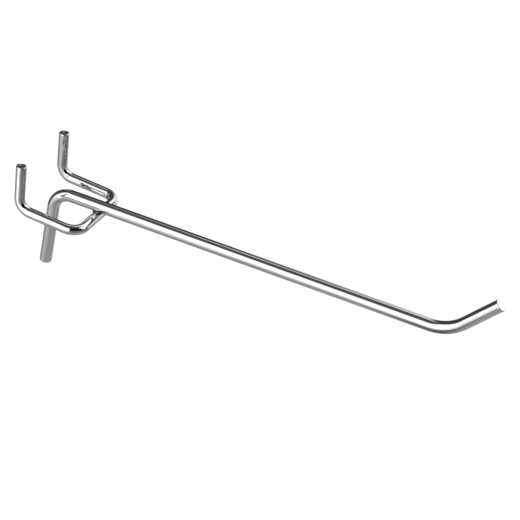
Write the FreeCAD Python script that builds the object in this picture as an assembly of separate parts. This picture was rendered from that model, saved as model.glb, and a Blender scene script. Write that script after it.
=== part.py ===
import FreeCAD
import Part
import math
import os

from FreeCAD import Vector

# A two-peg hook for a perforated board, bent from two round steel wires and welded where they cross.
# X runs along the board, -Y points out of the board's front face, and Z is up.
# The origin is on the board's front face, midway between the two peg holes.

# Driving dimensions, in millimetres and degrees

# The two wires
arm_wire_diameter = 3.8
peg_wire_diameter = 3.2
cut_end_round = 0.3

# Over all, from the back of the pegs to the end of the tip, before the cut ends are rounded
total_length = 150.0

# The arm wire: a leg down the board's face, a long rising arm and an upturned tip
leg_drop = 23.7
arm_rise = 4.0
tip_length = 19.5
tip_turn = 47.5
heel_inside_radius = 4.2
tip_inside_radius = 11.6

# The peg wire: two pegs behind the board, two level runs through its holes and a crossbar
peg_pitch = 25.4
peg_setback = 3.2
peg_height = 14.75
peg_lean = 4.5
crossbar_reach = 17.0
peg_inside_radius = 2.6
corner_inside_radius = 2.9

# The weld: how far the wires sink into each other, and the ring of metal that is pressed out
weld_set_down = 0.12
weld_ring_radius = 1.75
weld_ring_height = 1.3

# Values that follow from them
arm_radius = arm_wire_diameter / 2
peg_radius = peg_wire_diameter / 2
half_pitch = peg_pitch / 2
rise = math.radians(arm_rise)
tip_angle = math.radians(arm_rise + tip_turn)
lean = math.radians(peg_lean)


def forward_at(angle):
    """Direction away from the board, at an angle above the horizontal."""
    return Vector(0, -math.cos(angle), math.sin(angle))


def bent_wire(corners, inside_radii, diameter):
    """Round wire along straight runs between corners, with a tangent bend at each inner corner."""
    radius = diameter / 2
    pieces = []
    run_start = corners[0]
    for index, inside_radius in enumerate(inside_radii, start=1):
        corner = corners[index]
        into = (corner - corners[index - 1]).normalize()
        out = (corners[index + 1] - corner).normalize()
        turn = into.getAngle(out)
        bend_radius = inside_radius + radius
        setback = bend_radius * math.tan(turn / 2)
        bend_start = corner - into * setback
        bend_axis = into.cross(out).normalize()
        bend_centre = bend_start + bend_axis.cross(into) * bend_radius
        section = Part.Face(Part.Wire(Part.makeCircle(radius, bend_start, into)))
        pieces.append(Part.makeCylinder(radius, run_start.distanceToPoint(bend_start), run_start, into))
        pieces.append(section.revolve(bend_centre, bend_axis, math.degrees(turn)))
        run_start = corner + out * setback
    last_length = run_start.distanceToPoint(corners[-1])
    pieces.append(Part.makeCylinder(radius, last_length, run_start, corners[-1] - run_start))
    wire = pieces[0].multiFuse(pieces[1:]).removeSplitter().Solids[0]
    return round_cut_ends(wire, (corners[0], corners[-1]))


def round_cut_ends(wire, ends):
    """Break the sharp edge round each cut end."""
    tolerance = 1e-6
    rims = []
    for edge in wire.Edges:
        if not isinstance(edge.Curve, Part.Circle):
            continue
        if any(edge.Curve.Center.distanceToPoint(end) < tolerance for end in ends):
            rims.append(edge)
    return wire.makeFillet(cut_end_round, rims).Solids[0]


# The arm crosses over the middle of the crossbar, pressed into it by the set-down
arm_forward = forward_at(rise)
arm_up = Vector(0, math.sin(rise), math.cos(rise))
crossbar_middle = Vector(0, -crossbar_reach, 0)
arm_over_crossbar = crossbar_middle + arm_up * (arm_radius + peg_radius - weld_set_down)


def point_on_arm(y):
    """Point of the arm's axis at a distance y from the board."""
    return arm_over_crossbar + arm_forward * ((arm_over_crossbar.y - y) / math.cos(rise))


def make_arm_wire():
    """The leg lies flat on the board, so its axis is half a wire in front of it."""
    heel = point_on_arm(-arm_radius)
    foot = Vector(0, -arm_radius, -leg_drop)
    pegs_back = peg_setback + peg_height * math.sin(lean) + peg_radius * math.cos(lean)
    tip_end_y = pegs_back - total_length + arm_radius * math.sin(tip_angle)
    knee = point_on_arm(tip_end_y + tip_length * math.cos(tip_angle))
    tip_end = knee + forward_at(tip_angle) * tip_length
    return bent_wire((foot, heel, knee, tip_end), (heel_inside_radius, tip_inside_radius), arm_wire_diameter)


def make_peg_wire(arm_wire):
    """One wire for both pegs, mirrored about the arm, with a seat for the arm in its crossbar."""
    one_side = (
        Vector(half_pitch, peg_setback + peg_height * math.sin(lean), peg_height * math.cos(lean)),
        Vector(half_pitch, peg_setback, 0),
        Vector(half_pitch, -crossbar_reach, 0),
    )
    other_side = [Vector(-point.x, point.y, point.z) for point in reversed(one_side)]
    radii = (peg_inside_radius, corner_inside_radius, corner_inside_radius, peg_inside_radius)
    wire = bent_wire([*one_side, *other_side], radii, peg_wire_diameter)
    return wire.cut(arm_wire).Solids[0]


def make_weld_ring(arm_wire, peg_wire):
    """The metal pressed out round the weld fills the crevice between the two wires."""
    contact = crossbar_middle + arm_up * (peg_radius - weld_set_down / 2)
    half_height = arm_up * (weld_ring_height / 2)
    flat = arm_forward * (weld_ring_radius - weld_ring_height / 2)
    rim = arm_forward * weld_ring_radius
    bottom_edge = Part.makeLine(contact - half_height, contact - half_height + flat)
    round_edge = Part.Arc(contact - half_height + flat, contact + rim, contact + half_height + flat).toShape()
    top_edge = Part.makeLine(contact + half_height + flat, contact + half_height)
    axis_edge = Part.makeLine(contact + half_height, contact - half_height)
    profile = Part.Face(Part.Wire([bottom_edge, round_edge, top_edge, axis_edge]))
    return profile.revolve(contact, arm_up, 360).cut([arm_wire, peg_wire])


os.makedirs("parts", exist_ok=True)
arm_wire = make_arm_wire()
peg_wire = make_peg_wire(arm_wire)
weld_ring = make_weld_ring(arm_wire, peg_wire)
for name, shape in (("arm_wire", arm_wire), ("peg_wire", peg_wire), ("weld_ring", weld_ring)):
    shape.exportStep("parts/" + name + ".step")
    print(name, "valid", shape.isValid(), "solids", len(shape.Solids), "volume", round(shape.Volume, 2))
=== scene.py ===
# %% [markdown]
# # A two-peg hook for a perforated board
# The real hook is bent from two round steel wires. The thin one makes the two pegs and the crossbar,
# the thick one makes the leg, the long arm and the upturned tip, and one weld joins them.
# The CAD model gives the sizes. It is drawn in flat facets, and bright chrome would show every one of
# them, so this lesson bends both wires again with smooth rings of points, and then plates them.

# %% Open the CAD frame
import math

import bmesh
import bpy
from mathutils import Matrix, Vector


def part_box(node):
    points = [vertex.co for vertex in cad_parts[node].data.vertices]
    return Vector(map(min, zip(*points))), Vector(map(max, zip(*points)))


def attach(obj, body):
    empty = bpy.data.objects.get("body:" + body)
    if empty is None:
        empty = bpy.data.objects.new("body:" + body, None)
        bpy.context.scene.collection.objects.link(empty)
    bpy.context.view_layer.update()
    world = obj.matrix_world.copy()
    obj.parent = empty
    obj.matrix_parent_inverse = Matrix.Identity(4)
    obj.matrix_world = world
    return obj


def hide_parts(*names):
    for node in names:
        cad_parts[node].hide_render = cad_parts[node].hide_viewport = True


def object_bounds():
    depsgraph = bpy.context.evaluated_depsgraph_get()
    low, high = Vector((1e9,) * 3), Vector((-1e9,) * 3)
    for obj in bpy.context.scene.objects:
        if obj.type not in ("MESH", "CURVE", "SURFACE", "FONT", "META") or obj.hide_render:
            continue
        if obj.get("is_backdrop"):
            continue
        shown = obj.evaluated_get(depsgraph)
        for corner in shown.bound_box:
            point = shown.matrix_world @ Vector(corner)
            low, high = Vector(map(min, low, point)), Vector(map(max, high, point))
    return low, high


mm = 0.001

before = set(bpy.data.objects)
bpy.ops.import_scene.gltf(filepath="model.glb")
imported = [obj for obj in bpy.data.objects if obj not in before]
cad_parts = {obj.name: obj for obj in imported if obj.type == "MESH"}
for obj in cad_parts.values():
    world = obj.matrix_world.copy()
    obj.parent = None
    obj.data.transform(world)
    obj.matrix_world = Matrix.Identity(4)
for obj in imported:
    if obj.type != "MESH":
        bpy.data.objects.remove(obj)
cad_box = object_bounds()
print("CAD nodes:", sorted(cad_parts))
print("CAD box:", [round(side / mm, 2) for side in cad_box[1] - cad_box[0]], "mm")

# %% [markdown]
# ## The sizes of the hook
# X runs along the board, -Y points out of its front face, and Z is up. The origin lies on the board's
# face, midway between the two holes. A maker writes such a hook down as corners and bend radii, so the
# same values drive the drawing here. They are in metres, because Blender works in metres.

# %% Sizes
arm_radius = 1.9 * mm
peg_radius = 1.6 * mm
weld_set_down = 0.12 * mm

total_length = 150.0 * mm
leg_drop = 23.7 * mm
tip_length = 19.5 * mm
arm_rise = math.radians(4.0)
tip_rise = arm_rise + math.radians(47.5)

crossbar_reach = 17.0 * mm
peg_setback = 3.2 * mm
peg_height = 14.75 * mm
peg_lean = math.radians(4.5)
print("wires of", round(2 * arm_radius / mm, 2), "and", round(2 * peg_radius / mm, 2), "mm")

# %% [markdown]
# ## The corners of the arm wire
# The arm rests on the crossbar, and the weld lets it sink in a little. That fixes the height of the arm,
# and the leg then meets it at the heel. The tip's place follows from the hook's whole length.

# %% Corners of the arm wire
arm_forward = Vector((0, -math.cos(arm_rise), math.sin(arm_rise)))
arm_up = Vector((0, math.sin(arm_rise), math.cos(arm_rise)))
tip_forward = Vector((0, -math.cos(tip_rise), math.sin(tip_rise)))

crossbar_middle = Vector((0, -crossbar_reach, 0))
over_crossbar = crossbar_middle + arm_up * (peg_radius + arm_radius - weld_set_down)


def point_on_arm(y):
    """The point of the arm's centre line that has this Y."""
    return over_crossbar + arm_forward * ((y - over_crossbar.y) / arm_forward.y)


pegs_back = peg_setback + peg_height * math.sin(peg_lean) + peg_radius * math.cos(peg_lean)
tip_end_y = pegs_back - total_length + arm_radius * math.sin(tip_rise)
knee = point_on_arm(tip_end_y - tip_length * tip_forward.y)
heel = point_on_arm(-arm_radius)
foot = Vector((0, -arm_radius, -leg_drop))
arm_corners = [foot, heel, knee, knee + tip_forward * tip_length]
print("arm corners:", [[round(c / mm, 2) for c in corner] for corner in arm_corners])

# %% [markdown]
# ## Bending a wire
# A wire could be a curve with a round bevel. A modeller's way shows more of what happens in the shop: a
# ring of points is extruded along a straight run, and the Spin tool swings it round each bend, as a
# bending machine does. Each new ring also writes down where its points lay on the wire while it was
# still straight. The finish uses that later, so that the drawing lines follow the wire round its bends.

# %% The first ring of a wire
ring_points = 72
straight_place = "straight_wire"


def start_wire(name, radius, start, direction):
    """Lays the first ring across the wire's start and leaves it selected in edit mode."""
    bpy.ops.object.select_all(action="DESELECT")
    turn = Vector((0, 0, 1)).rotation_difference(direction).to_euler()
    bpy.ops.mesh.primitive_circle_add(vertices=ring_points, radius=radius, location=start, rotation=turn)
    wire = bpy.context.object
    wire.name = name
    places = wire.data.attributes.new(straight_place, "FLOAT_VECTOR", "POINT")
    for point, place in zip(wire.data.vertices, places.data):
        place.vector = point.co
    bpy.ops.object.transform_apply(location=True, rotation=True, scale=True)
    bpy.ops.object.mode_set(mode="EDIT")
    bpy.ops.mesh.select_all(action="SELECT")
    return wire


def note_straight_place(wire, length):
    """Moves the noted straight place of the newest ring on by this length."""
    mesh = bmesh.from_edit_mesh(wire.data)
    layer = mesh.verts.layers.float_vector[straight_place]
    for point in mesh.verts:
        if point.select:
            point[layer] = point[layer] + Vector((0, 0, length))
    bmesh.update_edit_mesh(wire.data)


# %% [markdown]
# Two moves make the rest of a wire. A run is one long extrusion, with a short one at each end, because the
# shading of the bend would otherwise reach along the run. A bend is many small spins.

# %% Two moves, along a run and round a bend
short_piece = 0.6 * mm
bend_step = math.radians(2.5)


def draw_run(wire, direction, length):
    """Extrudes the ring along a straight run."""
    for piece in (short_piece, length - 2 * short_piece, short_piece):
        bpy.ops.mesh.extrude_region_move(TRANSFORM_OT_translate={"value": direction * piece})
        note_straight_place(wire, piece)


def swing_bend(wire, centre, axis, turn, radius):
    """Swings the ring round a bend in small steps. Spin counts its angle clockwise."""
    steps = math.ceil(turn / bend_step)
    for _ in range(steps):
        bpy.ops.mesh.spin(steps=1, angle=-turn / steps, center=centre, axis=axis)
        note_straight_place(wire, radius * turn / steps)
    print("bend of", round(math.degrees(turn), 1), "degrees in", steps, "steps")


# %% [markdown]
# A run stops short of its corner, because the bend cuts the corner off. For a turn and a centre-line
# radius that setback is radius times tan(turn / 2). With it, one function bends any wire from a list of
# corners. At the end the joints between the steps are merged, and the normals are turned outwards.

# %% Bend a whole wire along its corners
same_place = 0.001 * mm


def bend_wire(name, radius, corners, bends):
    """A round wire along these corners, with a centre-line bend radius at each inner corner."""
    runs = [(b - a).normalized() for a, b in zip(corners, corners[1:])]
    wire = start_wire(name, radius, corners[0], runs[0])
    place = corners[0]
    for corner, bend, into, out in zip(corners[1:], bends, runs, runs[1:]):
        turn = into.angle(out)
        setback = bend * math.tan(turn / 2)
        bend_start = corner - into * setback
        draw_run(wire, into, (bend_start - place).length)
        axis = into.cross(out).normalized()
        swing_bend(wire, bend_start + axis.cross(into) * bend, axis, turn, bend)
        place = corner + out * setback
    draw_run(wire, runs[-1], (corners[-1] - place).length)
    bpy.ops.mesh.select_all(action="SELECT")
    bpy.ops.mesh.remove_doubles(threshold=same_place)
    bpy.ops.mesh.normals_make_consistent(inside=False)
    bpy.ops.object.mode_set(mode="OBJECT")
    print(name, "has", len(wire.data.vertices), "points")
    return wire


# %% [markdown]
# ## The arm wire
# The thick wire starts at the foot of the leg, turns tightly at the heel, runs out as the arm, and turns up
# in a wide bend at the knee, so that goods don't slide off. Bending it in one go, as the real one is bent,
# keeps its rings unbroken from end to end.

# %% Bend the arm wire
heel_bend = 4.2 * mm + arm_radius
knee_bend = 11.6 * mm + arm_radius

arm_wire = bend_wire("chromed_arm_wire", arm_radius, arm_corners, [heel_bend, knee_bend])

# %% [markdown]
# ## The peg wire
# The thin wire starts at the top of one peg, comes down behind the board, runs out through its hole,
# crosses over as the crossbar, and goes back the same way. One half could be made and mirrored. Bending
# it from peg to peg leaves no seam in the middle of the crossbar.

# %% Bend the peg wire
peg_across = 12.7 * mm
peg_bend = 2.6 * mm + peg_radius
corner_bend = 2.9 * mm + peg_radius

peg_top = Vector((0, peg_setback + peg_height * math.sin(peg_lean), peg_height * math.cos(peg_lean)))
peg_foot = Vector((0, peg_setback, 0))
half_way = [peg_top, peg_foot, crossbar_middle]
to_left = Vector((-peg_across, 0, 0))
peg_corners = [corner + to_left for corner in half_way]
peg_corners += [corner - to_left for corner in reversed(half_way)]
peg_bends = [peg_bend, corner_bend, corner_bend, peg_bend]
peg_wire = bend_wire("chromed_peg_wire", peg_radius, peg_corners, peg_bends)

# %% [markdown]
# ## The cut ends
# Wire is cropped with a shear. The blade rounds the rim over a little, and leaves the middle of the face
# slightly hollow. Here the open ring is filled and its rim is bevelled. The face is then inset, first flat
# and after that three times a little deeper. A Boolean cut could hollow it too, but insets keep the faces
# in clean rings. They go into a second material slot, for the duller look of a cut.

# %% Select the rim of an end, or the face that closes it
rim_reach = 3 * mm


def select_rim(wire, end):
    """Selects the open edges round this end of the wire."""
    bpy.ops.mesh.select_all(action="DESELECT")
    mesh = bmesh.from_edit_mesh(wire.data)
    for edge in mesh.edges:
        middle = (edge.verts[0].co + edge.verts[1].co) / 2
        edge.select_set(edge.is_boundary and (middle - end).length < rim_reach)
    mesh.select_flush_mode()
    bmesh.update_edit_mesh(wire.data)


def select_end_face(wire, end):
    """Selects the face that closes this end, which has a corner for each point of a ring."""
    bpy.ops.mesh.select_all(action="DESELECT")
    mesh = bmesh.from_edit_mesh(wire.data)
    closing = [face for face in mesh.faces if len(face.verts) == ring_points]
    nearest = min(closing, key=lambda face: (face.calc_center_median() - end).length)
    nearest.select_set(True)
    bmesh.update_edit_mesh(wire.data)


# %% Close and shape the cut ends
cut_end_round = 0.3 * mm
cut_round_steps = 5
cut_slot = 1
smooth_below = math.radians(40)
# Each step insets the face by the first length and sinks it by the second
hollow_steps = (
    (0.14 * mm, 0.0),
    (0.35 * mm, 0.06 * mm),
    (0.35 * mm, 0.08 * mm),
    (0.30 * mm, 0.03 * mm),
)


def crop_end(wire, end):
    """Closes one end as a shear leaves it."""
    bpy.ops.object.select_all(action="DESELECT")
    wire.select_set(True)
    bpy.context.view_layer.objects.active = wire
    bpy.ops.object.mode_set(mode="EDIT")
    bpy.ops.mesh.select_mode(type="EDGE")
    select_rim(wire, end)
    bpy.ops.mesh.edge_face_add()
    bpy.ops.mesh.bevel(offset=cut_end_round, segments=cut_round_steps, profile=0.5, affect="EDGES")
    bpy.ops.mesh.select_mode(type="FACE")
    select_end_face(wire, end)
    wire.active_material_index = cut_slot
    bpy.ops.object.material_slot_assign()
    for thickness, depth in hollow_steps:
        bpy.ops.mesh.inset(thickness=thickness, depth=-depth)
    bpy.ops.mesh.select_all(action="SELECT")
    bpy.ops.mesh.normals_make_consistent(inside=False)
    bpy.ops.object.mode_set(mode="OBJECT")


for wire, corners in ((arm_wire, arm_corners), (peg_wire, peg_corners)):
    # Two empty slots, one for the finish along the wire and one for the finish of its cuts
    wire.data.materials.append(None)
    wire.data.materials.append(None)
    crop_end(wire, corners[0])
    crop_end(wire, corners[-1])
    bpy.ops.object.shade_smooth_by_angle(angle=smooth_below)
    cut_faces = sum(face.material_index == cut_slot for face in wire.data.polygons)
    print(wire.name, "faces:", len(wire.data.polygons), "of them cut:", cut_faces)

# %% [markdown]
# ## The weld
# The two wires were pressed together while a current melted the spot where they touch. A collar of metal
# was pushed out all round, and it shows in the crevice between them. It could be a torus. A short cylinder
# about the spot, with both rims rounded until they nearly meet, also fills the middle.

# %% Make the weld collar
weld_radius = 1.75 * mm
weld_height = 1.3 * mm
weld_sides = 64
weld_spot = crossbar_middle + arm_up * (peg_radius - weld_set_down / 2)

bpy.ops.object.select_all(action="DESELECT")
bpy.ops.mesh.primitive_cylinder_add(
    vertices=weld_sides,
    radius=weld_radius,
    depth=weld_height,
    location=weld_spot,
    rotation=(-arm_rise, 0, 0),
)
weld_collar = bpy.context.object
weld_collar.name = "weld_collar"
bpy.ops.object.transform_apply(location=True, rotation=True, scale=True)
print("weld spot at", [round(c / mm, 2) for c in weld_spot], "mm")

# %% Round its rims
weld_round = 0.49 * weld_height
weld_round_steps = 8
across_limit = 0.5

bpy.ops.object.mode_set(mode="EDIT")
bpy.ops.mesh.select_mode(type="EDGE")
bpy.ops.mesh.select_all(action="DESELECT")
weld_mesh = bmesh.from_edit_mesh(weld_collar.data)
# The edges of the rims run across the collar's axis, and those of its wall run along it
for edge in weld_mesh.edges:
    run = (edge.verts[0].co - edge.verts[1].co).normalized()
    edge.select_set(abs(run.dot(arm_up)) < across_limit)
bmesh.update_edit_mesh(weld_collar.data)
bpy.ops.mesh.bevel(offset=weld_round, segments=weld_round_steps, profile=0.5, affect="EDGES")
bpy.ops.object.mode_set(mode="OBJECT")
print("weld collar faces:", len(weld_collar.data.polygons))

# %% [markdown]
# No weld is a turned part. The lumps could be pulled up by hand, point by point. A Displace modifier with
# a cloud pattern does it evenly, by up to about a tenth of a millimetre, and is then applied.

# %% Make it lumpy
lump_size = 0.5 * mm
lump_height = 0.22 * mm
lump_level = 0.6

lump_pattern = bpy.data.textures.new("weld_lumps", "CLOUDS")
lump_pattern.noise_scale = lump_size
lumps = weld_collar.modifiers.new("lumps", "DISPLACE")
lumps.texture = lump_pattern
lumps.texture_coords = "LOCAL"
lumps.strength = lump_height
lumps.mid_level = lump_level
bpy.ops.object.modifier_apply(modifier=lumps.name)
bpy.ops.object.shade_smooth_by_angle(angle=smooth_below)
print("weld collar:", [round(side / mm, 2) for side in weld_collar.dimensions], "mm")

# %% [markdown]
# ## Bright chrome on drawn wire
# Bright chrome reflects about two thirds of the light, almost without colour, and its look is all
# reflection. Up close it isn't perfect: the wire was pulled through a die, which leaves fine lines along
# it, and the plating has a faint ripple. Both are made once, as node groups, and each finish uses them
# with its own values. A few helpers place and link the nodes, as a hand would in the shader editor.

# %% Node helpers
def feed(tree, socket, source):
    """Links a socket to its source, or sets it where the source is a plain value."""
    if isinstance(source, bpy.types.NodeSocket):
        tree.links.new(source, socket)
    else:
        socket.default_value = source


def math_node(tree, operation, *operands):
    """A Math node. Each operand is a socket or a number."""
    node = tree.nodes.new("ShaderNodeMath")
    node.operation = operation
    for socket, operand in zip(node.inputs, operands):
        feed(tree, socket, operand)
    return node.outputs[0]


def mix_node(tree, kind, share, first, second):
    """A Mix node that goes from the first to the second by this share."""
    node = tree.nodes.new("ShaderNodeMix")
    node.data_type = kind
    sockets = [socket for socket in node.inputs if socket.enabled]
    for socket, source in zip(sockets, (share, first, second)):
        feed(tree, socket, source)
    return [socket for socket in node.outputs if socket.enabled][0]


def noise_node(tree, place, scale, detail):
    """A Noise Texture read at this place."""
    node = tree.nodes.new("ShaderNodeTexNoise")
    for socket, source in (("Vector", place), ("Scale", scale), ("Detail", detail)):
        feed(tree, node.inputs[socket], source)
    return node.outputs["Fac"]


def new_group(name, inputs, outputs):
    """An empty shader node group with these named sockets. Returns its tree, input and output nodes."""
    tree = bpy.data.node_groups.new(name, "ShaderNodeTree")
    for socket, kind, value in inputs:
        made = tree.interface.new_socket(socket, in_out="INPUT", socket_type=kind)
        if value is not None:
            made.default_value = value
    for socket, kind in outputs:
        tree.interface.new_socket(socket, in_out="OUTPUT", socket_type=kind)
    return tree, tree.nodes.new("NodeGroupInput"), tree.nodes.new("NodeGroupOutput")


# %% [markdown]
# The die draws its lines along the wire, so they are a noise that is stretched along it. It is read at the
# noted straight places, so the lines turn with the wire. Fine lines lie on wider ones, of which there are
# about a fifth as many. The group gives their height, for a bump, and their shade, for the metal's tone.

# %% Drawing lines, as a group
lines_per_metre = 3000.0
line_stretch = 0.012
wide_share = 0.22
fine_height = 0.4

lines_tree, lines_in, lines_out = new_group(
    "drawing_lines",
    [("Straight Place", "NodeSocketVector", None), ("Lines per Metre", "NodeSocketFloat", lines_per_metre)],
    [("Height", "NodeSocketFloat"), ("Shade", "NodeSocketFloat")],
)
stretch = lines_tree.nodes.new("ShaderNodeMapping")
stretch.inputs["Scale"].default_value = (1.0, 1.0, line_stretch)
lines_tree.links.new(lines_in.outputs["Straight Place"], stretch.inputs["Vector"])
line_place = stretch.outputs["Vector"]
fine_scale = lines_in.outputs["Lines per Metre"]
fine_lines = noise_node(lines_tree, line_place, fine_scale, detail=3.0)
wide_scale = math_node(lines_tree, "MULTIPLY", fine_scale, wide_share)
wide_lines = noise_node(lines_tree, line_place, wide_scale, detail=2.0)
low_lines = math_node(lines_tree, "MULTIPLY", fine_lines, fine_height)
all_lines = math_node(lines_tree, "ADD", low_lines, wide_lines)
lines_tree.links.new(all_lines, lines_out.inputs["Height"])
lines_tree.links.new(fine_lines, lines_out.inputs["Shade"])
print("group:", lines_tree.name)

# %% [markdown]
# The ripple of the plating has no direction. It is a plain soft noise, and a second, coarser one marks the
# patches where the chrome is a little hazier.

# %% Plating ripple, as a group
ripples_per_metre = 600.0
haze_share = 0.3

ripple_tree, ripple_in, ripple_out = new_group(
    "plating_ripple",
    [("Place", "NodeSocketVector", None), ("Ripples per Metre", "NodeSocketFloat", ripples_per_metre)],
    [("Height", "NodeSocketFloat"), ("Haze", "NodeSocketFloat")],
)
ripple_place = ripple_in.outputs["Place"]
ripple_scale = ripple_in.outputs["Ripples per Metre"]
soft_ripple = noise_node(ripple_tree, ripple_place, ripple_scale, detail=1.0)
haze_scale = math_node(ripple_tree, "MULTIPLY", ripple_scale, haze_share)
haze_patches = noise_node(ripple_tree, ripple_place, haze_scale, detail=4.0)
ripple_tree.links.new(soft_ripple, ripple_out.inputs["Height"])
ripple_tree.links.new(haze_patches, ripple_out.inputs["Haze"])
print("group:", ripple_tree.name)

# %% [markdown]
# A finish then places the groups it needs. A noise runs from 0 to 1, but most of it lies near the middle.
# Map Range spreads that middle over the small range of roughness or of tone that the metal really has.

# %% Helpers for a finish
noise_low = 0.35
noise_high = 0.65
green_cast = 1.004
blue_cast = 1.01


def new_finish(name):
    """A metal material. Returns the material, its tree and its shader."""
    material = bpy.data.materials.new(name)
    material.use_nodes = True
    shader = material.node_tree.nodes["Principled BSDF"]
    shader.inputs["Metallic"].default_value = 1.0
    return material, material.node_tree, shader


def use_group(tree, group):
    """Places a node group in a material."""
    node = tree.nodes.new("ShaderNodeGroup")
    node.node_tree = group
    return node


def spread(tree, value, low, high):
    """The middle of a noise, spread over this range."""
    node = tree.nodes.new("ShaderNodeMapRange")
    tree.links.new(value, node.inputs["Value"])
    ends = {"From Min": noise_low, "From Max": noise_high, "To Min": low, "To Max": high}
    for socket, number in ends.items():
        node.inputs[socket].default_value = number
    return node.outputs["Result"]


def cool_grey(tone):
    """A grey of this tone, with the slightly cool cast of chrome."""
    return (tone, tone * green_cast, tone * blue_cast, 1.0)


def grey_tone(tree, value, low, high):
    """A metal's colour, which goes between two tones with this value."""
    return mix_node(tree, "RGBA", spread(tree, value, 0.0, 1.0), cool_grey(low), cool_grey(high))


def raise_surface(tree, shader, height, strength, depth):
    """Bumps the surface by this height."""
    node = tree.nodes.new("ShaderNodeBump")
    node.inputs["Strength"].default_value = strength
    node.inputs["Distance"].default_value = depth
    tree.links.new(height, node.inputs["Height"])
    tree.links.new(node.outputs["Normal"], shader.inputs["Normal"])


# %% [markdown]
# Bright chrome reads the noted straight places, because both of its patterns follow the wire. The lines
# darken its tone here and there, the haze makes it a trace rougher, and the two heights together bump the
# surface by a few thousandths of a millimetre.

# %% Bright chrome along the wires
bright_chrome, tree, shader = new_finish("bright_chrome_on_drawn_wire")
along = tree.nodes.new("ShaderNodeAttribute")
along.attribute_name = straight_place
lines = use_group(tree, lines_tree)
tree.links.new(along.outputs["Vector"], lines.inputs["Straight Place"])
ripple = use_group(tree, ripple_tree)
tree.links.new(along.outputs["Vector"], ripple.inputs["Place"])

tone = grey_tone(tree, lines.outputs["Shade"], low=0.54, high=0.75)
tree.links.new(tone, shader.inputs["Base Color"])
roughness = spread(tree, ripple.outputs["Haze"], low=0.02, high=0.05)
tree.links.new(roughness, shader.inputs["Roughness"])
surface = math_node(tree, "ADD", lines.outputs["Height"], ripple.outputs["Height"])
raise_surface(tree, shader, surface, strength=0.5, depth=0.004 * mm)
print("finish:", bright_chrome.name)

# %% [markdown]
# ## The cropped ends
# Plating covers the cuts as well, but the shear has torn the steel there, so they are duller and streaked
# one way. The ripple group, much finer and stretched along the shear's stroke, gives the streaks. It reads
# Object coordinates, because the pattern of a cut doesn't follow the wire.

# %% Cropped ends
streak_turn = math.radians(25)
streak_stretch = 0.15

cropped_chrome, tree, shader = new_finish("chrome_on_cropped_end")
own_place = tree.nodes.new("ShaderNodeTexCoord")
streaks = tree.nodes.new("ShaderNodeMapping")
streaks.inputs["Rotation"].default_value = (0.0, 0.0, streak_turn)
streaks.inputs["Scale"].default_value = (1.0, streak_stretch, streak_stretch)
tree.links.new(own_place.outputs["Object"], streaks.inputs["Vector"])
torn = use_group(tree, ripple_tree)
torn.inputs["Ripples per Metre"].default_value = 5200.0
tree.links.new(streaks.outputs["Vector"], torn.inputs["Place"])

tone = grey_tone(tree, torn.outputs["Haze"], low=0.48, high=0.77)
tree.links.new(tone, shader.inputs["Base Color"])
roughness = spread(tree, torn.outputs["Haze"], low=0.30, high=0.16)
tree.links.new(roughness, shader.inputs["Roughness"])
raise_surface(tree, shader, torn.outputs["Height"], strength=0.6, depth=0.03 * mm)
print("finish:", cropped_chrome.name)

# %% [markdown]
# ## The weld's finish
# The weld keeps a fine grain and a trace of dark scale under its plating, and its tone is kept near black
# as painted shade for the crevice between the two wires. The same ripple group, fine and not stretched,
# gives the grain.

# %% Weld
welded_chrome, tree, shader = new_finish("chrome_on_weld")
own_place = tree.nodes.new("ShaderNodeTexCoord")
grain = use_group(tree, ripple_tree)
grain.inputs["Ripples per Metre"].default_value = 4200.0
tree.links.new(own_place.outputs["Object"], grain.inputs["Place"])

# Tones near black: dark scale, and painted shade for the crevice between the wires
tone = grey_tone(tree, grain.outputs["Haze"], low=0.02, high=0.16)
tree.links.new(tone, shader.inputs["Base Color"])
roughness = spread(tree, grain.outputs["Haze"], low=0.30, high=0.10)
tree.links.new(roughness, shader.inputs["Roughness"])
raise_surface(tree, shader, grain.outputs["Height"], strength=0.8, depth=0.05 * mm)
print("finish:", welded_chrome.name)

# %% [markdown]
# ## Plating the pieces and fixing them to the frame
# The finishes go into the slots that were kept for them. Each piece then rides on the one body of the CAD
# model, and stands in for its CAD node.

# %% Plate and fix the pieces
for wire in (arm_wire, peg_wire):
    wire.data.materials[0] = bright_chrome
    wire.data.materials[cut_slot] = cropped_chrome
weld_collar.data.materials.append(welded_chrome)

for piece, node in ((arm_wire, "arm_wire"), (peg_wire, "peg_wire"), (weld_collar, "weld_ring")):
    low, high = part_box(node)
    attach(piece, "root")
    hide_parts(node)
    print(piece.name, "replaces", node, "box", [round(side / mm, 2) for side in high - low], "mm")

# %% [markdown]
# ## The floor and the light
# The background is a plain pale floor, well below the hook, as under something that hangs on a wall. It is
# so wide that its far edge is lost in the pale world. One large soft lamp lights it from above.

# %% Floor
floor_size = 60.0
floor_drop = 0.30
pale = (0.98, 0.98, 0.98, 1.0)

bpy.ops.object.select_all(action="DESELECT")
bpy.ops.mesh.primitive_plane_add(size=floor_size, location=(0, 0, -floor_drop))
floor = bpy.context.object
floor.name = "pale_floor"
floor_paint = bpy.data.materials.new("pale_floor_paint")
floor_paint.use_nodes = True
paint_shader = floor_paint.node_tree.nodes["Principled BSDF"]
paint_shader.inputs["Base Color"].default_value = pale
paint_shader.inputs["Roughness"].default_value = 0.9
paint_shader.inputs["Specular IOR Level"].default_value = 0.0
floor.data.materials.append(floor_paint)
floor.visible_glossy = False
floor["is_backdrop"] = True
print("floor", floor_drop, "m below the board's holes")

# %% World and lamp
white = (1.0, 1.0, 1.0, 1.0)
lamp_place = Vector((-0.6, -0.4, 1.6))
lamp_aim = Vector((0.0, -0.05, 0.0))

world = bpy.data.worlds.new("pale_room")
bpy.context.scene.world = world
world.use_nodes = True
world.node_tree.nodes["Background"].inputs["Color"].default_value = white

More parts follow.
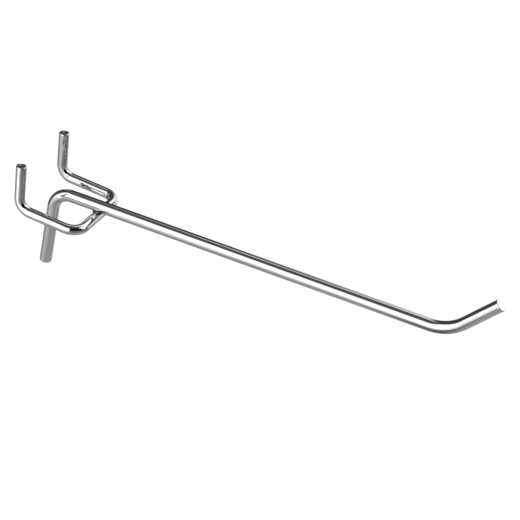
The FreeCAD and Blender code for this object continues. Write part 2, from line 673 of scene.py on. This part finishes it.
bpy.ops.object.light_add(type="AREA", location=lamp_place)
soft_lamp = bpy.context.object
soft_lamp.name = "soft_lamp"
soft_lamp.data.shape = "DISK"
soft_lamp.data.size = 1.4
soft_lamp.data.energy = 3.0
soft_lamp.rotation_euler = (lamp_aim - lamp_place).to_track_quat("-Z", "Y").to_euler()
soft_lamp.visible_glossy = False
print("lamp of", soft_lamp.data.energy, "W,", round((lamp_aim - lamp_place).length, 2), "m away")

# %% [markdown]
# ## The light tent
# Chrome shows only what stands round it, so a photographer puts it in a tent: white cloth on one side,
# black card on the others. It could be built from many cards. Here it is one large ball round the hook,
# whose brightness depends on the direction, because that leaves no gaps and is easy to tune. Five ramps
# give the brightness of its five sides. Each stop is a height in degrees, from -90 straight down to 90
# straight up, and a level.

# %% Brightness of the tent's sides, by height
white_side = [(-90, 0.24), (-70, 0.21), (-50, 0.28), (-40, 0.33), (-34, 0.38), (-26, 0.48), (-18, 0.62),
              (-10, 0.80), (-2, 1.0), (45, 1.0), (51, 0.5), (56, 0.14), (61, 0.055), (90, 0.055)]
dark_side = [(-90, 0.24), (-65, 0.40), (-50, 0.50), (-35, 0.50), (-30, 0.34), (-24, 0.12), (-14, 0.10),
             (-6, 0.09), (2, 0.055), (10, 0.04), (40, 0.035), (60, 0.055), (90, 0.055)]
window_side = [(-90, 0.24), (-60, 0.28), (-42, 0.24), (-34, 0.31), (-32.5, 0.20), (-29, 0.22), (-25, 0.60),
               (6, 0.66), (22, 0.60), (30, 0.8), (38, 1.0), (52, 1.0), (60, 0.5), (68, 0.12), (90, 0.055)]
front_side = [(-90, 0.24), (-60, 0.28), (-36, 0.22), (-28, 0.11), (-16, 0.10), (0, 0.20), (10, 0.12),
              (22, 0.10), (27, 0.3), (31, 0.8), (38, 1.0), (52, 1.0), (60, 0.5), (68, 0.12), (90, 0.055)]
black_side = [(-90, 0.24), (-60, 0.30), (-35, 0.30), (-31, 0.24), (-27, 0.13), (-8, 0.12), (2, 0.12),
              (8, 0.04), (14, 0.006), (60, 0.004), (68, 0.055), (90, 0.055)]
print("stops:", [len(side) for side in (white_side, dark_side, window_side, front_side, black_side)])

# %% [markdown]
# The dark side goes all round, and the other four are laid over it in turn. A ramp over the compass says
# how much of each shows. 0 degrees is +Y, 90 is +X, 180 is -Y, and the camera stands at about -108.

# %% Places of the tent's sides, by compass
laid_over = (
    (white_side, [(-112, 0.0), (-106, 1.0), (-27, 1.0), (-7, 0.0)]),
    (window_side, [(68, 0.0), (74, 0.4), (80, 0.8), (88, 1.0), (171, 1.0), (177, 0.0)]),
    (front_side, [(112, 0.0), (134, 1.0), (171, 1.0), (177, 0.0)]),
    (black_side, [(-112, 1.0), (-106, 0.0), (171, 0.0), (177, 1.0)]),
)
print("sides laid over the dark one:", len(laid_over))

# %% [markdown]
# Small patches on the cloth make the finer marks in the chrome. Two are lighter: a strip overhead is the
# thin light line in the arm's dark top, and a glint lights the crossbar. Four are darker: a shade low down
# for the undersides, a line in the crossbar's highlight, and the dark edges of the upright wires and of
# the arm. Each patch is a ramp over the height times one over the compass.

# %% Patches of the tent
overhead_strip = (
    [(46, 0.0), (51, 0.50), (61, 0.50), (65, 0.0)],
    [(34, 0.0), (44, 0.5), (54, 1.0), (74, 1.0), (80, 0.0)],
)
crossbar_glint = (
    [(-15, 0.0), (-10, 1.0), (11, 1.0), (15, 0.0)],
    [(120, 0.0), (125, 0.32), (136, 0.32), (142, 0.0)],
)
underside_shade = (
    [(-90, 0.0), (-75, 1.0), (-38, 1.0), (-25, 0.0)],
    [(-180, 0.2), (-140, 0.22), (-112, 0.27), (-95, 0.32), (-81, 0.32), (-70, 0.0)],
)
crossbar_line = (
    [(15, 0.0), (18, 1.0), (27, 1.0), (31, 0.0)],
    [(113, 0.0), (116, 0.9), (125, 0.9), (130, 0.0)],
)
upright_edge = (
    [(-80, 0.0), (-66, 1.0), (-16, 1.0), (-6, 0.3), (18, 0.3), (28, 0.0)],
    [(-26, 0.0), (-20, 0.45), (-8, 0.42), (10, 0.6), (44, 0.72), (78, 0.72), (87, 0.0)],
)
arm_edge = (
    [(-50, 0.0), (-38, 1.0), (8, 1.0), (16, 0.0)],
    [(63, 0.0), (67, 0.75), (71, 0.75), (75, 0.3), (78, 0.0)],
)
light_patches = (overhead_strip, crossbar_glint)
dark_patches = (underside_shade, crossbar_line, upright_edge, arm_edge)
print("patches:", len(light_patches), "light and", len(dark_patches), "dark")

# %% [markdown]
# The cloth's material works out the direction of each point of the ball. Arctangent and arcsine turn it
# into a compass angle and a height, and both are brought to the range from 0 to 1 that a Color Ramp reads.

# %% Compass and height of a point of the tent
def new_studio_material(name):
    """A material with only its output node. Returns the material and its tree."""
    material = bpy.data.materials.new(name)
    material.use_nodes = True
    tree = material.node_tree
    tree.nodes.remove(tree.nodes["Principled BSDF"])
    return material, tree


tent_cloth, tent_tree = new_studio_material("tent_cloth")
tent_place = tent_tree.nodes.new("ShaderNodeTexCoord")
direction = tent_tree.nodes.new("ShaderNodeVectorMath")
direction.operation = "NORMALIZE"
tent_tree.links.new(tent_place.outputs["Object"], direction.inputs[0])
parts = tent_tree.nodes.new("ShaderNodeSeparateXYZ")
tent_tree.links.new(direction.outputs["Vector"], parts.inputs["Vector"])

compass_angle = math_node(tent_tree, "ARCTAN2", parts.outputs["X"], parts.outputs["Y"])
tent_compass = math_node(tent_tree, "MULTIPLY_ADD", compass_angle, 1.0 / math.tau, 0.5)
height_angle = math_node(tent_tree, "ARCSINE", parts.outputs["Z"])
tent_height = math_node(tent_tree, "MULTIPLY_ADD", height_angle, 1.0 / math.pi, 0.5)
print("the cloth has", len(tent_tree.nodes), "nodes so far")

# %% [markdown]
# A Color Ramp node turns a place into a level. One function makes any ramp from its stops, and two short
# ones give it the range of the height and of the compass.

# %% Ramps over the height and the compass
def level_ramp(tree, source, stops, lowest, highest):
    """A ramp of levels. Its source is 0 at the lowest place and 1 at the highest."""
    node = tree.nodes.new("ShaderNodeValToRGB")
    elements = node.color_ramp.elements
    # A new ramp has two stops, and the others are put between them
    while len(elements) < len(stops):
        elements.new(0.5)
    for element, (place, level) in zip(elements, stops):
        element.position = (place - lowest) / (highest - lowest)
        element.color = (level, level, level, 1.0)
    tree.links.new(source, node.inputs["Fac"])
    return node.outputs["Color"]


def over_height(stops):
    """A ramp from straight down to straight up."""
    return level_ramp(tent_tree, tent_height, stops, -90, 90)


def over_compass(stops):
    """A ramp once round the compass."""
    return level_ramp(tent_tree, tent_compass, stops, -180, 180)


def patch_level(patch):
    """The level of a patch, from its two ramps."""
    heights, places = patch
    return math_node(tent_tree, "MULTIPLY", over_height(heights), over_compass(places))


# %% [markdown]
# The sides are mixed one over the other. The light patches are then added, and each dark patch takes its
# share of the brightness away.

# %% Paint the tent's cloth
tent_white = 1.73

brightness = over_height(dark_side)
for side, places in laid_over:
    brightness = mix_node(tent_tree, "FLOAT", over_compass(places), brightness, over_height(side))
for patch in light_patches:
    brightness = math_node(tent_tree, "ADD", brightness, patch_level(patch))
for patch in dark_patches:
    left_over = math_node(tent_tree, "SUBTRACT", 1.0, patch_level(patch))
    brightness = math_node(tent_tree, "MULTIPLY", brightness, left_over)
glow = tent_tree.nodes.new("ShaderNodeEmission")
glow.inputs["Strength"].default_value = tent_white
tent_tree.links.new(brightness, glow.inputs["Color"])
tent_tree.links.new(glow.outputs["Emission"], tent_tree.nodes["Material Output"].inputs["Surface"])
print("the cloth has", len(tent_tree.nodes), "nodes")

# %% [markdown]
# The ball itself is far larger than the hook, so that every part of the hook sees nearly the same tent.
# Only reflections show it. The camera doesn't see it, and it lights nothing else and casts no shadow.

# %% Put up the tent
tent_radius = 1.2
tent_middle = (0, -0.065, 0)


def show_only_in_reflections(thing):
    """Hides a part of the studio from all but reflections."""
    for sight in ("camera", "diffuse", "transmission", "volume_scatter", "shadow"):
        setattr(thing, "visible_" + sight, False)


bpy.ops.object.select_all(action="DESELECT")
bpy.ops.mesh.primitive_uv_sphere_add(segments=96, ring_count=48, radius=tent_radius, location=tent_middle)
tent = bpy.context.object
tent.name = "light_tent"
tent.data.materials.append(tent_cloth)
bpy.ops.object.shade_smooth()
show_only_in_reflections(tent)
tent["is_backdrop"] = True
print("tent of", tent_radius, "m radius")

# %% [markdown]
# Two places in the photograph are whiter than the tent makes them: a stripe down the left peg, and the cut
# face of the tip. A small glowing card beside each, seen only in reflections, paints a highlight there.

# %% Two glowing cards for painted highlights
card_glow = 1.3
stripe_place = 0.4
tip_face = arm_corners[-1]
left_peg = peg_corners[0].lerp(peg_corners[1], stripe_place)
# Each card's name, what it faces, where its middle is, and its size
cards = (
    ("peg_card", left_peg, Vector((-0.0399, 0.0149, -0.008)), (0.016, 0.0126, 1.0)),
    ("tip_card", tip_face, tip_face + Vector((0.047, -0.029, 0.022)), (0.046, 0.046, 1.0)),
)

# The cards glow, and only reflections see them: painted highlights on the left peg and the tip's face
glowing_highlight_card = bpy.data.materials.new("glowing_highlight_card")
glowing_highlight_card.use_nodes = True
card_shader = glowing_highlight_card.node_tree.nodes["Principled BSDF"]
card_shader.inputs["Emission Color"].default_value = white
card_shader.inputs["Emission Strength"].default_value = card_glow
for name, faces, middle, size in cards:
    bpy.ops.object.select_all(action="DESELECT")
    turn = (faces - middle).to_track_quat("Z", "Y").to_euler()
    bpy.ops.mesh.primitive_plane_add(size=1.0, location=middle, rotation=turn)
    card = bpy.context.object
    card.name = name
    card.scale = size
    card.data.materials.append(glowing_highlight_card)
    show_only_in_reflections(card)
    card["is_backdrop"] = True
    print(name, "at", [round(c / mm) for c in middle], "mm")

# %% [markdown]
# The knee of the arm is darker underneath in the photograph than the rest of the arm. A dark net that only
# reflections see paints that shade into the knee's underside. The net lies below the knee, lets part of the
# light through, and thins out towards its edges. Its two ramps, along X and along Y, are in millimetres.

# %% A dark net below the knee, for painted shade
net_depth = -20 * mm
net_across = [(-105, 0.0), (-60, 0.5), (22, 0.5), (40, 0.0)]
net_along = [(-141, 0.0), (-135, 0.5), (-130, 1.0), (-122, 0.95), (-117, 0.75), (-110, 0.4), (-101, 0.0)]
left, right = net_across[0][0], net_across[-1][0]
front, back = net_along[0][0], net_along[-1][0]

painted_shade_net, net_tree = new_studio_material("painted_shade_net")
net_place = net_tree.nodes.new("ShaderNodeTexCoord")
net_parts = net_tree.nodes.new("ShaderNodeSeparateXYZ")
net_tree.links.new(net_place.outputs["Generated"], net_parts.inputs["Vector"])
across_level = level_ramp(net_tree, net_parts.outputs["X"], net_across, left, right)
along_level = level_ramp(net_tree, net_parts.outputs["Y"], net_along, front, back)
# The net holds back part of the tent's light: painted shade in the knee's reflection
held_back = math_node(net_tree, "MULTIPLY", across_level, along_level)
let_through = math_node(net_tree, "SUBTRACT", 1.0, held_back)
veil = net_tree.nodes.new("ShaderNodeBsdfTransparent")
net_tree.links.new(let_through, veil.inputs["Color"])
net_tree.links.new(veil.outputs["BSDF"], net_tree.nodes["Material Output"].inputs["Surface"])
most = max(level for _, level in net_across) * max(level for _, level in net_along)
print("the net holds back at most", most, "of the light")

# %% Hang up the net
net_middle = Vector(((left + right) / 2 * mm, (front + back) / 2 * mm, net_depth))

bpy.ops.object.select_all(action="DESELECT")
bpy.ops.mesh.primitive_plane_add(size=1.0, location=net_middle)
net = bpy.context.object
net.name = "knee_painted_shade_net"
net.scale = ((right - left) * mm, (back - front) * mm, 1.0)
net.data.materials.append(painted_shade_net)
show_only_in_reflections(net)
net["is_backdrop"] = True
print("net of", right - left, "by", back - front, "mm")

# %% [markdown]
# ## The camera
# The photograph looks down on the hook from the left of its tip, through a long lens, with the camera
# tilted sideways. Place, aim, tilt and lens were worked out from the hook's straight runs.

# %% Camera
camera_place = Vector((-0.42099, -0.20553, 0.30342))
camera_aim = Vector((0.0, -0.07074, 0.00841))
camera_tilt = math.radians(13.05)

camera_data = bpy.data.cameras.new("photo_camera")
camera_data.lens = 125.05
camera_data.sensor_width = 36.0
camera = bpy.data.objects.new("photo_camera", camera_data)
bpy.context.scene.collection.objects.link(camera)
upright_look = (camera_aim - camera_place).to_track_quat("-Z", "Y").to_matrix()
camera.location = camera_place
camera.rotation_euler = (upright_look @ Matrix.Rotation(camera_tilt, 3, "Z")).to_euler()
bpy.context.scene.camera = camera
bpy.context.scene.view_settings.view_transform = "Standard"
print("camera", round((camera_aim - camera_place).length, 3), "m from its aim")

# %% [markdown]
# ## The size of the dressed hook
# The dressed hook has to fill the same box as the CAD model, so both boxes are printed side by side.

# %% Print the two boxes and finish
dressed_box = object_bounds()
boxes = {"cad": [list(corner) for corner in cad_box], "visual": [list(corner) for corner in dressed_box]}
for name, (low, high) in boxes.items():
    print(name, "box", [round((b - a) / mm, 3) for a, b in zip(low, high)], "mm")
